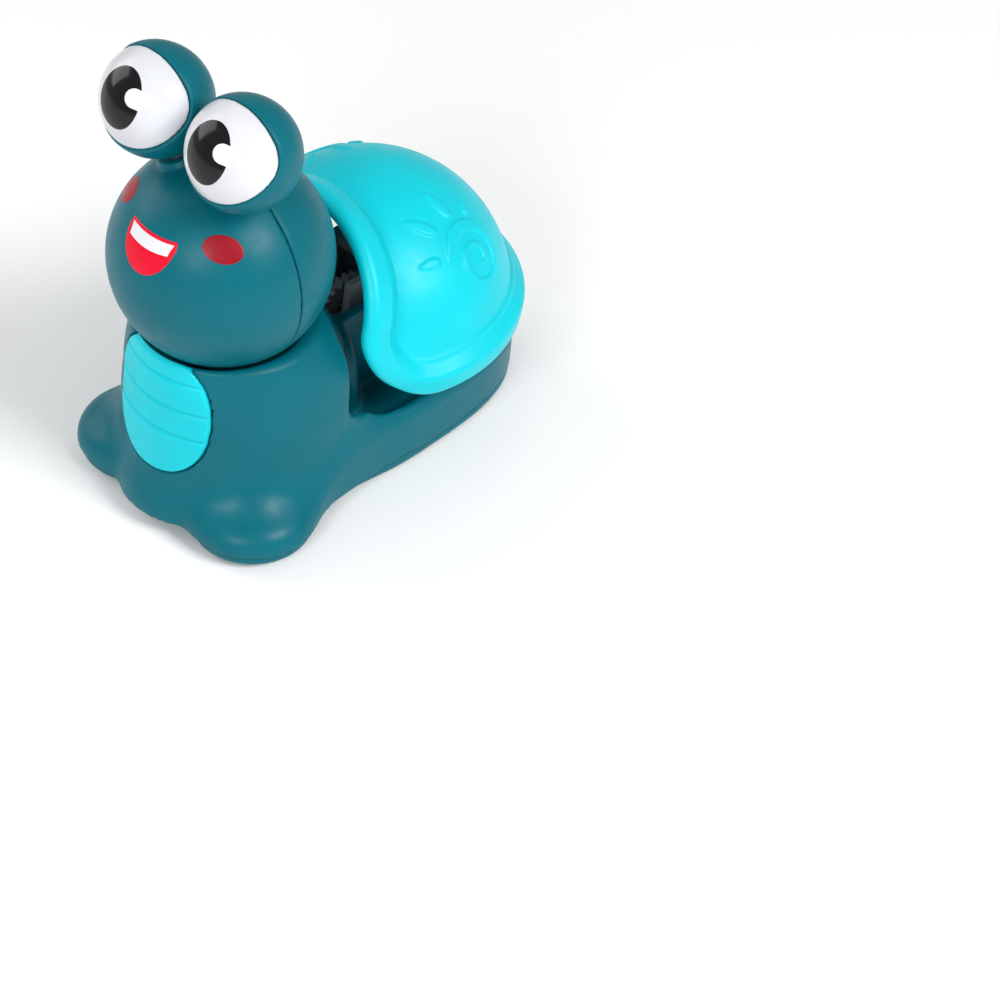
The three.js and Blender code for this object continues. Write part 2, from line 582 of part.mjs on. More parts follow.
add('body_shell', bodyShell(), 'body');
add('base_plate', basePlate(), 'body');
add('belly_panel', bellyPanel(), 'shell');
add('snail_shell', snailShell(), 'shell');
add('head_front', headHalf(true), 'body');
add('head_back', headHalf(false), 'body');
add('head_pin', headPin(), 'inner');
add('head_washer', headWasher(), 'steel');
add('head_screw', screw(0, AXIS_Y, HEAD_PIN.z[0] - 1.6, 9, 1, 2.6), 'steel');
addPair('eye_cap', eyeCap(), 'body');
addPair('eye_white', eyeWhite(), 'eye_white');
addPair('eye_pin', eyePin(), 'inner');
addPair('eye_clip', eyeClip(), 'steel');

add('plunger', plunger(), 'inner');
add('return_spring', returnSpring(), 'steel');
addPair('shell_screw', screw(SHELL_SCREW.x, SHELL_SCREW.y, FLANGE_Z[0] - 0.1, 3.8, 0.9, 1.8), 'steel');
add('gearbox_frame', gearboxFrame(), 'inner');
add('gearbox_cover', gearboxCover(), 'inner');
GEARBOX_SCREWS.forEach((place, i) => add(`gearbox_screw_${i + 1}`, gearboxScrew(place), 'steel'));
add('rack_gear', rackGear(), 'inner');
add('rack_gear_shaft', pin(RACK), 'steel');
add('swing_gear', swingGear(), 'inner');
add('swing_pin', pin(SWING), 'steel');
add('drive_gear', driveGear(), 'inner');
add('drive_shaft', pin(DRIVE), 'steel');
add('flywheel', flywheel(), 'steel');
add('flywheel_shaft', pin(FLY), 'steel');

add('rear_axle', shaft(AXLE_R, AXLE, [-WHEEL.rearX - 3, WHEEL.rearX + 3]), 'steel');
add('axle_gear', axleGear(), 'inner');
addPair('rear_wheel', wheel(WHEEL.rearX, AXLE.y), 'wheel');
const FRONT = { y: WHEEL.frontY, z: WHEEL.axleZ };
add('front_axle', shaft(AXLE_R, FRONT, [-WHEEL.frontX - 3, WHEEL.frontX + 3]), 'steel');
addPair('front_wheel', wheel(WHEEL.frontX, WHEEL.frontY), 'wheel');
BODY_SCREWS.forEach(([x, y], i) => add(`body_screw_${i + 1}`, screw(x, y, 2.5, 7, 1.1, 2.4), 'steel'));

export default snail;
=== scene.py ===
"""Push-and-go toy snail: the moulded casings, eyes and prints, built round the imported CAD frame.

Shapes are written in head radii from the foot of the head's vertical axis: x to the snail's left, y
backwards, z up. Each moulded piece is a distance field, meshed by a surface net and pulled onto the exact
surface.
"""
import itertools
import json
import math

import bpy
import numpy as np
from mathutils import Matrix, Vector


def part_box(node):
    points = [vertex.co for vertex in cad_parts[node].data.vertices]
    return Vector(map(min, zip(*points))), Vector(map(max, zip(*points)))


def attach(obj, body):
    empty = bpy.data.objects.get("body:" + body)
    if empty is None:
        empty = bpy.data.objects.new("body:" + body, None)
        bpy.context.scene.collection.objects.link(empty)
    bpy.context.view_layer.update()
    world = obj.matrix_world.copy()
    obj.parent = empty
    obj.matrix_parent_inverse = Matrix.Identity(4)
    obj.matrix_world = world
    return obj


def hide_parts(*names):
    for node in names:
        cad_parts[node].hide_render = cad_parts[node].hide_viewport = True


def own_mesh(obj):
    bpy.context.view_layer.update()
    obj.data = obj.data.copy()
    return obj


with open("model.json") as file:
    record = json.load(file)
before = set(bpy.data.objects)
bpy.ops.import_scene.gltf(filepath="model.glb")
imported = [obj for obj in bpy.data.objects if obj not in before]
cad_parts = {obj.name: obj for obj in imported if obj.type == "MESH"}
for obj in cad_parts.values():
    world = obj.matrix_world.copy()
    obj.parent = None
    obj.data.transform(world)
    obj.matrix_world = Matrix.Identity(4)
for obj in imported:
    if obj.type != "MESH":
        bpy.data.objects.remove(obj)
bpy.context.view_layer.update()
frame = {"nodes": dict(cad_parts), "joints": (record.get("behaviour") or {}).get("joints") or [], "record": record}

# ---------------------------------------------------------------- frame sizes, from the CAD
_, FRONT_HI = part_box("head_front")
BACK_LO, BACK_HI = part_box("head_back")
R = (BACK_HI.x - BACK_LO.x) / 2                     # radius of the head, in metres
AXIS_Y = (FRONT_HI.y + BACK_LO.y) / 2
HEAD_Z = BACK_HI.z / R - 1                          # height of the head's centre, in head radii
JOINTS = {joint["name"]: joint for joint in frame["joints"]}
TRAVEL = JOINTS["shell_press"]["range_m"][1] / R
MM = 0.001 / R                                      # one millimetre, in head radii


def to_radii(point):
    return np.array([point[0], point[1] - AXIS_Y, point[2]]) / R


def to_metres(points):
    return np.asarray(points) * R + np.array([0, AXIS_Y, 0])


def middle_of(node):
    lo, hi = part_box(node)
    return to_radii((lo + hi) / 2)


SIDES = ("left", "right")
HEAD = np.array([0, 0, HEAD_Z])
EYES = {side: to_radii(JOINTS[f"eye_{side}_turn"]["pos_m"]) for side in SIDES}
PEGS = {side: np.array(JOINTS[f"eye_{side}_turn"]["axis"]) for side in SIDES}
BODY_SCREWS = [middle_of(f"body_screw_{i}") for i in (1, 2, 3, 4)]
SHELL_SCREW_X, SHELL_SCREW_Y, _ = middle_of("shell_screw_left")
PLUNGER_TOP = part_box("plunger")[1].z / R
WHEELS = [f"{axle}_wheel_{side}" for axle in ("front", "rear") for side in SIDES]
WELLS = [[to_radii(corner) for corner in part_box(node)] for node in [*WHEELS, "axle_gear"]]
SEAM_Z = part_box("body_shell")[0].z / R              # parting line between body and base plate
BASE_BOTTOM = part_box("base_plate")[0].z / R

# ---------------------------------------------------------------- driving sizes, in head radii
EYE_R = 0.484
WALL = 2.2 * MM                                     # wall of the body and the head
PIN_HOLE_R = 5.3 * MM                               # room round the head pin, in the body and the head
BODY_BOSS = {"r": 2.1 * MM, "half": 0.9 * MM}       # tubes that the screws bite into: radius, half the wall
SHELL_BOSS = {"r": 1.8 * MM, "half": 0.7 * MM}
SCREW_HOLE = {"head": 2.6 * MM, "shank": 1.5 * MM}
COLLAR_Z = 1.88
BALL_GAP = 0.022                                    # play between the head and its dish in the collar

# Seen from above: a squared-off oval for the tail, an oval trunk and a round lobe for each toe.
TAIL = {"y": 1.74, "half_x": 1.19, "half_y": 1.66, "power": 2.8}
TRUNK = {"y": 0.35, "half_x": 1.0, "half_y": 0.85, "scale": 0.9}
SIDE_TOE = {"x": 0.755, "y": -0.34, "r": 0.575}
MIDDLE_TOE = {"y": -0.40, "r": 0.58}
# The bump on top of each toe: the middle and half sizes of an ellipsoid.
SIDE_BUMP = ((0.76, -0.33, 0.10), (0.54, 0.54, 0.46))
MIDDLE_BUMP = ((0, -0.40, 0.10), (0.50, 0.56, 0.46))
# The neck spreads fast down to the bend and slowly below it, and its axis moves back as it spreads.
NECK = {"r": 0.865, "y": 0.08, "back": 0.40, "spread": 0.54, "skirt": 0.20, "bend": 0.6, "height": 1.5,
        "scale": 0.85}
GIRTH = {"y": 0.35, "half_x": 1.10, "half_y": 1.27, "scale": 1.1}
LEDGE = {"front": 0.36, "rise": 0.36, "from": -0.1, "to": 0.6}
TAIL_FALL = {"fall": 0.08, "from": 1.8, "to": 3.4}
POCKET = {"behind": 0.41, "lean": 0.19, "inset": 0.13, "floor": 0.58}
RIM = {"z": 0.735, "rise": 0.15, "from": 1.5, "to": 0.7}
SADDLE = {"sink": 0.10, "inset": 0.15, "edge": 0.28, "top": 1.95, "clear": 0.06, "behind": 0.12}
TOWER = {"half_x": 0.50, "front": 0.856, "back": 2.893, "top": 1.55, "foot": 0.3}
PANEL = {"z": 1.30, "half_x": 0.555, "half_z": 0.64, "power": 2.4, "deep": 1.2 * MM, "back": -0.2}
GROOVES = {"heights": (1.70, 1.40, 1.125), "lift": 0.35 * MM, "r": 0.42 * MM}

DOME = np.array([0, 1.90, 1.16])
DOME_R = 1.39
SHELL_WALL = 0.085
# The crease is where the dome ends. Each cut of the dome is the direction of its pole and its angle in radians.
ARCH_REACH, EDGE_REACH = 0.937, 0.18
ARCH = (np.array([0, 0.9187, -0.3950]), -math.asin(ARCH_REACH / DOME_R))
EDGE = (np.array([0, -0.0599, 0.9982]), math.asin(EDGE_REACH / DOME_R))
CORNER_R = 0.38                                     # radius of the crease where the arch meets the level edge
# The rolled brim: its width and height on the level edge, what the arch adds to them, and half its thickness.
BRIM = {"wide": 0.25, "wide_more": -0.08, "high": 0.03, "high_more": 0.23, "half": 0.075}
BEAD = {"inset": 0.035, "r": 0.030, "until": 0.6, "sink": 0.04}     # runs along the level edge, then fades
HEAD_ROOM = 1.06                                    # radius kept free for the head, at rest and when pressed
EMBOSS_HEIGHT = 0.020
MOTIF = np.array([0.773, 0.229, 0.591])             # direction of the embossed motif from the dome's middle
SPIRAL = {"start": 0.055, "pitch": 0.030, "half": 0.020, "swell": 0.0045, "fade": 3.1 * math.pi,
          "end": 3.4 * math.pi, "soft": 0.016}
# Each leaf: its place beside and above the spiral, its angle in degrees, and its half length and half width.
LEAVES = [((0.03, 0.60), 88, 0.17, 0.060), ((-0.31, 0.56), 122, 0.17, 0.060),
          ((0.27, 0.41), 55, 0.09, 0.040), ((-0.50, 0.27), 160, 0.12, 0.050)]

STALK = {"r": 0.20, "top": 1.035, "foot": 0.9}      # the short stalk under each eye
# How far the plane of each lid's edge lies in front of the eye's middle, in eye radii.
LIDS = {"upper": 0.03, "lower": 0.22}
# How far the cap stands proud of the eye and reaches into it, and the three depths of the white ball.
CAP = {"proud": 0.3 * MM, "deep": 1.7 * MM}
WHITE = {"sunk": 0.1 * MM, "behind": 2.3 * MM, "hollow": 4.2 * MM}
PEG_HOLE = {"head": 2.6 * MM, "eye": 2.8 * MM}
PUPIL = {"height": 26, "across": 0.47, "up": 0.585}     # height in degrees, half sizes in radians on the eye
GLINT = {"up": 0.13, "half": 0.175, "deep": 0.36, "past": 0.05}     # the white notch in each pupil's edge
MOUTH = {"height": 41, "half": 0.285, "drop": 0.42, "sag": 0.045}
TEETH = {"inset": 0.037, "top": -0.03, "low": -0.135, "sag": 0.055, "taper": 0.93}
CHEEK = {"azimuth": 48, "height": 39, "long": 0.175, "high": 0.12, "tilt": 14}
TINY = 1e-6


# ---------------------------------------------------------------- distance fields
def blend_min(a, b, k):
    h = np.clip(0.5 + 0.5 * (b - a) / k, 0, 1)
    return b * (1 - h) + a * h - k * h * (1 - h)


def blend_max(a, b, k):
    return -blend_min(-a, -b, k)


def round_max(a, b, r):
    """Both solids at once, with the edge between them rounded."""
    return np.minimum(-r, np.maximum(a, b)) + np.hypot(np.maximum(a + r, 0), np.maximum(b + r, 0))


def smoothstep(lo, hi, value):
    t = np.clip((value - lo) / (hi - lo), 0, 1)
    return t * t * (3 - 2 * t)


def ball(p, centre, r):
    return np.sqrt(sum((p[i] - centre[i]) ** 2 for i in range(3))) - r


def ellipsoid(p, centre, half):
    gauge = np.sqrt(sum(((p[i] - centre[i]) / half[i]) ** 2 for i in range(3)))
    return ball(p, centre, 0) * (1 - 1 / np.maximum(gauge, TINY))


def upright(p, x, y, r):
    return np.hypot(p[0] - x, p[1] - y) - r


def thick_line(u, v, a, b, thick):
    """Distance to a thick line from a to b in a plane."""
    du, dv = b[0] - a[0], b[1] - a[1]
    t = np.clip(((u - a[0]) * du + (v - a[1]) * dv) / (du * du + dv * dv), 0, 1)
    return np.hypot(u - a[0] - t * du, v - a[1] - t * dv) - thick


def squared_oval(u, v, half_u, half_v, power):
    """Distance to an oval round zero that is fuller than an ellipse."""
    gauge = ((np.abs(u) / half_u) ** power + (np.abs(v) / half_v) ** power) ** (1 / power)
    return np.hypot(u, v) * (1 - 1 / np.maximum(gauge, TINY))


def floor_oval(x, y, size):
    return (np.hypot(x / size["half_x"], (y - size["y"]) / size["half_y"]) - 1) * size["scale"]


def footprint(x, y):
    """The outline seen from above: three toes, a waist and a long tail."""
    tail = squared_oval(x, y - TAIL["y"], TAIL["half_x"], TAIL["half_y"], TAIL["power"])
    body = blend_min(tail, floor_oval(x, y, TRUNK), 0.35)
    side_toe = np.hypot(np.abs(x) - SIDE_TOE["x"], y - SIDE_TOE["y"]) - SIDE_TOE["r"]
    middle_toe = np.hypot(x, y - MIDDLE_TOE["y"]) - MIDDLE_TOE["r"]
    toes = blend_min(side_toe, middle_toe, 0.08)
    return blend_min(body, toes, 0.30)


def neck(p):
    """A collar that flares downwards, and more to the sides and back than to the front."""
    x, y, z = p
    drop = np.clip(COLLAR_Z - z, 0, NECK["height"])
    flare, skirt = blend_min(drop, NECK["bend"], 0.3), np.maximum(drop - NECK["bend"], 0)
    reach = np.hypot(x, y - NECK["y"] - NECK["back"] * flare)
    side = (reach - NECK["r"] - NECK["spread"] * flare - NECK["skirt"] * skirt) * NECK["scale"]
    return round_max(blend_max(side, floor_oval(x, y, GIRTH), 0.15), z - COLLAR_Z, 0.05)


def tail_fall(y):
    return TAIL_FALL["fall"] * smoothstep(TAIL_FALL["from"], TAIL_FALL["to"], y)


def ledge_height(y):
    return LEDGE["front"] + LEDGE["rise"] * smoothstep(LEDGE["from"], LEDGE["to"], y) - tail_fall(y)


def body_skin(p):
    """The body's outer form, without the base, the belly window or the hollow inside."""
    x, y, z = p
    plan = footprint(x, y)
    slab = round_max(plan, z - ledge_height(y), 0.15)
    side_toe = ellipsoid((np.abs(x), y, z), *SIDE_BUMP)
    middle_toe = ellipsoid(p, *MIDDLE_BUMP)
    toes = blend_max(blend_min(side_toe, middle_toe, 0.10), plan, 0.05)
    form = blend_min(blend_min(slab, toes, 0.18), neck(p), 0.30)
    return blend_max(form, -ball(p, HEAD, 1 + BALL_GAP), 0.03)


def behind_arch(p):
    """Distance behind the plane of the shell's arch, which leans back as it rises."""
    return ARCH[0][1] * (p[1] - DOME[1]) + ARCH[0][2] * (p[2] - DOME[2]) + ARCH_REACH


def pocket(p):
    """The recess under the shell, and the step in the flare that follows the shell's outline."""
    x, y, z = p
    wall = -POCKET["behind"] - behind_arch(p) + POCKET["lean"] * (COLLAR_Z - z)
    well = round_max(footprint(x, y) + POCKET["inset"], wall, 0.20)
    well = round_max(well, POCKET["floor"] - z, 0.12)
    rim = RIM["z"] + RIM["rise"] * smoothstep(RIM["from"], RIM["to"], y) - tail_fall(y)
    return blend_min(well, round_max(wall, rim - z, 0.30), 0.03)


def saddle(p):
    """The part of the flare that goes on under the shell, clear of the dome when the shell is pressed."""
    x, y, z = p
    flare = blend_max(neck((x, y, z - SADDLE["sink"])) + SADDLE["inset"], footprint(x, y) + SADDLE["edge"], 0.2)
    flare = round_max(flare, z - SADDLE["top"], 0.1)
    pressed = ball(p, DOME - np.array([0, 0, TRAVEL]), DOME_R - SHELL_WALL - SADDLE["clear"])
    return blend_max(flare, blend_min(pressed, behind_arch(p) + SADDLE["behind"], 0.1), 0.1)


def tower(p, shrink):
    """The block under the shell that houses the gears."""
    middle = (TOWER["front"] + TOWER["back"]) / 2
    half = (TOWER["back"] - TOWER["front"]) / 2 - shrink
    return round_max(np.abs(p[0]) - TOWER["half_x"] + shrink, np.abs(p[1] - middle) - half, 0.08)


def body_form(p):
    form = blend_min(blend_max(body_skin(p), -pocket(p), 0.05), saddle(p), 0.10)
    form = blend_max(form, -ball(p, HEAD, 1 + BALL_GAP), 0.03)
    return blend_min(form, round_max(tower(p, 0), p[2] - TOWER["top"], 0.04), 0.05)


def panel_oval(p, grow):
    """The belly window: an oval tube that runs forwards from the neck's axis."""
    x, y, z = p
    oval_gap = squared_oval(x, z - PANEL["z"], PANEL["half_x"], PANEL["half_z"], PANEL["power"]) - grow
    return np.maximum(oval_gap, y - PANEL["back"])


def body_shell(p):
    """The hollow upper body: screw bosses, the gear tower, a hole for the head pin and the belly window."""
    outer = body_form(p)
    skin = np.maximum(outer, -(outer + WALL))
    for x, y, _ in BODY_SCREWS:
        boss = np.maximum(np.abs(upright(p, x, y, BODY_BOSS["r"])) - BODY_BOSS["half"], outer + 0.6 * MM)
        skin = np.minimum(skin, boss)
    skin = np.maximum(skin, -np.maximum(tower(p, WALL), TOWER["foot"] - p[2]))
    skin = np.maximum(skin, -upright(p, 0, 0, PIN_HOLE_R))
    window = np.maximum(panel_oval(p, 0.35 * MM), -(body_skin(p) + PANEL["deep"]))
    skin = blend_max(skin, -window, 0.2 * MM)
    return round_max(skin, SEAM_Z - p[2], 0.3 * MM)


def belly_panel(p):
    skin = body_skin(p)
    sheet = np.maximum(skin - 0.30 * MM, -(skin + PANEL["deep"] - 0.35 * MM))
    sheet = np.maximum(sheet, -ball(p, HEAD, 1 + BALL_GAP + 0.3 * MM))
    panel = blend_max(sheet, panel_oval(p, 0), 0.5 * MM)
    for height in GROOVES["heights"]:
        groove = np.hypot(p[2] - height, skin - GROOVES["lift"]) - GROOVES["r"]
        panel = blend_max(panel, -groove, 0.3 * MM)
    return panel


def base_plate(p):
    """A flat plate with an opening for each wheel and for the axle gear, and four sunk screw holes."""
    x, y, z = p
    plate = round_max(footprint(x, y) + 0.2 * MM, BASE_BOTTOM - z, 0.075)
    plate = round_max(plate, z - SEAM_Z + 0.3 * MM, 0.3 * MM)
    for lo, hi in WELLS:
        along = np.abs(x - (lo[0] + hi[0]) / 2) - (hi[0] - lo[0]) / 2 - 0.8 * MM
        across = np.abs(y - (lo[1] + hi[1]) / 2) - (hi[1] - lo[1]) / 2 - 1.0 * MM
        plate = blend_max(plate, -round_max(along, across, 0.5 * MM), 0.3 * MM)
    for sx, sy, _ in BODY_SCREWS:
        sunk = np.maximum(upright(p, sx, sy, SCREW_HOLE["head"]), z - SCREW_HOLE["head"])
        plate = np.maximum(np.maximum(plate, -sunk), -upright(p, sx, sy, SCREW_HOLE["shank"]))
    return plate


# ---------------------------------------------------------------- snail shell
def crease(q, reach):
    """Distance along the dome to its crease, positive on the dome, and 0 to 1 from level edge to arch."""
    tilts = [sum(q[i] * pole[i] for i in range(3)) / reach for pole, _ in (ARCH, EDGE)]
    arch, edge = [(np.arcsin(np.clip(tilt, -1, 1)) - angle) * DOME_R
                  for tilt, (_, angle) in zip(tilts, (ARCH, EDGE))]
    spread = np.sqrt(np.maximum((1 - tilts[0] ** 2) * (1 - tilts[1] ** 2), TINY))
    lean = np.clip((ARCH[0] @ EDGE[0] - tilts[0] * tilts[1]) / spread, -0.9, 0.9)
    a, b = arch - CORNER_R, edge - CORNER_R
    in_corner = (a < lean * b) & (b < lean * a)
    far = np.sqrt(np.maximum(a * a + b * b - 2 * a * b * lean, 0) / (1 - lean ** 2))
    return np.where(in_corner, CORNER_R - far, np.minimum(arch, edge)), smoothstep(-0.5, 0.5, edge - arch)


def spiral(u, v):
    """A spiral ridge of about one and a half turns that widens outwards and fades at its end."""
    height = np.zeros_like(u)
    radius, angle = np.hypot(u, v), np.arctan2(v, u)
    for turn in (0, 1):
        sweep = (angle + math.pi / 2) % (2 * math.pi) + 2 * math.pi * turn
        middle = SPIRAL["start"] + SPIRAL["pitch"] * sweep
        width = SPIRAL["half"] + SPIRAL["swell"] * sweep
        end = smoothstep(SPIRAL["end"], SPIRAL["fade"], sweep)
        height = np.maximum(height, smoothstep(0, SPIRAL["soft"], width * end - np.abs(radius - middle)))
    return height


def emboss(q):
    """Height of the raised spiral and leaves, the same on both sides of the dome."""
    x = np.abs(q[0])
    reach = np.sqrt(x * x + q[1] ** 2 + q[2] ** 2)
    back = np.array([-MOTIF[1], MOTIF[0], 0]) / math.hypot(MOTIF[0], MOTIF[1])
    up = np.cross(MOTIF, back)
    u = (x * back[0] + q[1] * back[1]) * DOME_R / reach
    v = (x * up[0] + q[1] * up[1] + q[2] * up[2]) * DOME_R / reach
    near = x * MOTIF[0] + q[1] * MOTIF[1] + q[2] * MOTIF[2] > 0.6 * DOME_R
    height = spiral(u, v)
    for (cu, cv), degrees, long, wide in LEAVES:
        c, s = math.cos(math.radians(degrees)), math.sin(math.radians(degrees))
        along, across = (u - cu) * c + (v - cv) * s, (v - cv) * c - (u - cu) * s
        leaf = 1 - np.hypot(along / long, across / (wide * (1 - 0.35 * along / long)))
        height = np.maximum(height, smoothstep(0, 0.30, leaf))
    return np.where(near, height, 0)


def brim(across, lift, front):
    """The rolled edge in section: a knee that leans out over the crease and up to the lip."""
    wide, high = BRIM["wide"] + BRIM["wide_more"] * front, BRIM["high"] + BRIM["high_more"] * front
    knee = (-0.50 * wide, 0.50 * high + 0.035)
    return np.minimum(thick_line(across, lift, (-0.01, -0.045), knee, BRIM["half"]),
                      thick_line(across, lift, knee, (-wide, high), BRIM["half"]))


def snail_shell(p):
    q = (p[0], p[1] - DOME[1], p[2] - DOME[2])
    reach = np.sqrt(q[0] ** 2 + q[1] ** 2 + q[2] ** 2)
    lift = reach - DOME_R
    across, front = crease(q, reach)
    dome = np.maximum(np.maximum(lift - EMBOSS_HEIGHT * emboss(q), -(lift + SHELL_WALL)), -across)
    shell = blend_min(dome, brim(across, lift, front), 0.025)
    bead = np.hypot(across - BEAD["inset"], lift) - BEAD["r"]
    shell = np.where(front < BEAD["until"], blend_min(shell, bead + BEAD["sink"] * front, 0.012), shell)
    above = np.clip(p[2] - HEAD_Z, 0, TRAVEL)
    head = np.sqrt(p[0] ** 2 + p[1] ** 2 + (p[2] - HEAD_Z - above) ** 2) - HEAD_ROOM
    shell = blend_max(shell, -head, 0.05)
    for side in (-1, 1):
        boss = np.abs(upright(p, side * SHELL_SCREW_X, SHELL_SCREW_Y, SHELL_BOSS["r"])) - SHELL_BOSS["half"]
        bottom = PLUNGER_TOP + 0.3 * MM - p[2]
        shell = np.minimum(shell, np.maximum(np.maximum(boss, bottom), lift + 0.5 * MM))
    return shell


# ---------------------------------------------------------------- head and eyes
def round_peg(p, centre, side):
    """Distances along an eye's peg from a centre, and off the peg's axis."""
    along = sum((p[i] - centre[i]) * PEGS[side][i] for i in range(3))
    return along, np.sqrt(np.maximum(ball(p, centre, 0) ** 2 - along ** 2, 0))


def head_shell(p):
    skin = ball(p, HEAD, 1)
    for side in SIDES:
        along, off = round_peg(p, HEAD, side)
        stalk = round_max(off - STALK["r"], along - STALK["top"], 0.02)
        skin = blend_min(skin, round_max(stalk, STALK["foot"] - along, 0.02), 0.04)
    skin = np.maximum(skin, -ball(p, HEAD, 1 - WALL))
    for side in SIDES:
        along, off = round_peg(p, HEAD, side)
        skin = np.maximum(skin, -np.maximum(off - PEG_HOLE["head"], 0.5 - along))
    return np.maximum(skin, -np.maximum(upright(p, 0, 0, PIN_HOLE_R), p[2] - HEAD_Z))


def head_front(p):
    return round_max(head_shell(p), p[1] + 0.15 * MM, 0.35 * MM)


def head_back(p):
    return round_max(head_shell(p), 0.15 * MM - p[1], 0.35 * MM)


def lid_opening(p, centre, grow):
    """In front of the upright upper lid and above the lower lid, with a soft corner between them."""
    y, z = p[1] - centre[1], p[2] - centre[2]
    upper = y + LIDS["upper"] * EYE_R - grow
    lower = LIDS["lower"] * EYE_R - grow + (y - z) * math.sqrt(0.5)
    return blend_max(upper, lower, 0.12)


def peg_hole(p, side):
    """The blind hole that runs from below to the middle of an eye."""
    along, off = round_peg(p, EYES[side], side)
    return np.maximum(off - PEG_HOLE["eye"], along)


def eye_cap(side):
    def field(p):
        skin = np.maximum(ball(p, EYES[side], EYE_R + CAP["proud"]), -ball(p, EYES[side], EYE_R - CAP["deep"]))
        skin = round_max(skin, -lid_opening(p, EYES[side], 0.30 * MM), 0.45 * MM)
        return np.maximum(skin, -peg_hole(p, side))
    return field


def eye_white(side):
    def field(p):
        front = round_max(ball(p, EYES[side], EYE_R - WHITE["sunk"]), lid_opening(p, EYES[side], 0), 0.2 * MM)
        solid = np.minimum(front, ball(p, EYES[side], EYE_R - WHITE["behind"]))
        solid = np.maximum(solid, -ball(p, EYES[side], EYE_R - WHITE["hollow"]))
        return np.maximum(solid, -peg_hole(p, side))
    return field


# ---------------------------------------------------------------- surface net
CORNERS = list(itertools.product((0, 1), repeat=3))
EDGES = [(a, b) for a, b in itertools.combinations(range(8), 2)
         if sum(abs(CORNERS[a][i] - CORNERS[b][i]) for i in range(3)) == 1]


def surface_net(field, lo, hi, step):
    """Vertices and outward quads of the surface where the field is zero, on a grid of cells of size step."""
    axes = [np.arange(lo[i], hi[i] + step, step) for i in range(3)]
    values = field(tuple(np.meshgrid(*axes, indexing="ij")))
    inside = values < 0
    cut = [slice(0, -1), slice(1, None)]
    count = sum(inside[cut[i], cut[j], cut[k]].astype(np.int8) for i, j, k in CORNERS)
    cells = np.argwhere((count > 0) & (count < 8))
    index = np.full(count.shape, -1)
    index[tuple(cells.T)] = np.arange(len(cells))
    at = [values[tuple((cells + corner).T)] for corner in CORNERS]
    total, hits = np.zeros((len(cells), 3)), np.zeros(len(cells))
    for a, b in EDGES:
        crossing = (at[a] < 0) != (at[b] < 0)
        share = np.where(crossing, at[a] / np.where(crossing, at[a] - at[b], 1), 0)
        place = np.array(CORNERS[a]) + share[:, None] * (np.array(CORNERS[b]) - np.array(CORNERS[a]))
        total += place * crossing[:, None]
        hits += crossing
    points = np.array(lo) + step * (cells + total / hits[:, None])
    return points, net_faces(inside, index)


def net_faces(inside, index):
    faces = []
    for axis in range(3):
        others = [i for i in range(3) if i != axis]
        first = [slice(1, -1)] * 3
        second = [slice(1, -1)] * 3
        first[axis], second[axis] = slice(0, -1), slice(1, None)
        here, there = inside[tuple(first)], inside[tuple(second)]
        cells = np.argwhere(here != there)
        leaving = here[tuple(cells.T)]
        base = cells.copy()
        base[:, others] += 1
        ring = []
        for du, dv in ((1, 1), (0, 1), (0, 0), (1, 0)):
            corner = base.copy()
            corner[:, others[0]] -= du
            corner[:, others[1]] -= dv
            ring.append(index[tuple(corner.T)])
        quads = np.stack(ring, 1)
        flip = leaving if axis != 1 else ~leaving
        faces.append(np.where(flip[:, None], quads, quads[:, ::-1]))
    return np.concatenate(faces)


def settle(field, points, step):
    """Moves each vertex along the field's slope onto the exact surface."""
    e = 0.02 * step
    nudges = [np.eye(3)[i][:, None] * e for i in range(3)]
    for _ in range(4):
        p = points.T
        value = field(tuple(p))
        slope = np.stack([field(tuple(p + nudge)) - field(tuple(p - nudge)) for nudge in nudges], 1) / (2 * e)
        shift = slope * (value / np.maximum((slope ** 2).sum(1), 0.2))[:, None]
        size = np.linalg.norm(shift, axis=1)
        points = points - shift * np.minimum(1, 0.5 * step / np.maximum(size, 1e-9))[:, None]
    return points


def mesh_object(name, points, faces, material):
    mesh = bpy.data.meshes.new(name)
    mesh.vertices.add(len(points))
    mesh.vertices.foreach_set("co", to_metres(points).astype(np.float32).ravel())
    mesh.loops.add(faces.size)
    mesh.loops.foreach_set("vertex_index", faces.astype(np.int32).ravel())
    mesh.polygons.add(len(faces))
    mesh.polygons.foreach_set("loop_start", np.arange(0, faces.size, faces.shape[1], dtype=np.int32))
    mesh.polygons.foreach_set("use_smooth", np.ones(len(faces), bool))
    mesh.update(calc_edges=True)
    mesh.validate()
    mesh.materials.append(material)
    piece = bpy.data.objects.new(name, mesh)
    bpy.context.scene.collection.objects.link(piece)
    return piece


def moulded(name, field, nodes, step, material, body, spare=0.0):
    """A piece meshed from its field, in the box of the CAD nodes that it replaces with some room to spare."""
    corners = [to_radii(corner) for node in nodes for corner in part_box(node)]
    margin = 2.2 * step + spare
    lo, hi = np.min(corners, 0) - margin, np.max(corners, 0) + margin
    points, faces = surface_net(field, lo, hi, step)
    piece = mesh_object(name, settle(field, points, step), faces, material)
    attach(piece, body)
    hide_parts(*nodes)
    return piece


# ---------------------------------------------------------------- printed decals
def frame_towards(direction):
    """Unit vectors that point out of the surface, to the snail's left along it, and up along it."""
    out = np.array(direction) / np.linalg.norm(direction)
    left = np.cross(out, [0, 0, 1])
    left = -left / np.linalg.norm(left)
    return out, left, np.cross(out, left) * (1 if np.cross(out, left)[2] > 0 else -1)


def heading(azimuth, height):
    """A direction at an angle to the snail's left of straight ahead, and an angle above level, in degrees."""
    a, h = math.radians(azimuth), math.radians(height)
    return np.array([math.sin(a) * math.cos(h), -math.cos(a) * math.cos(h), math.sin(h)])


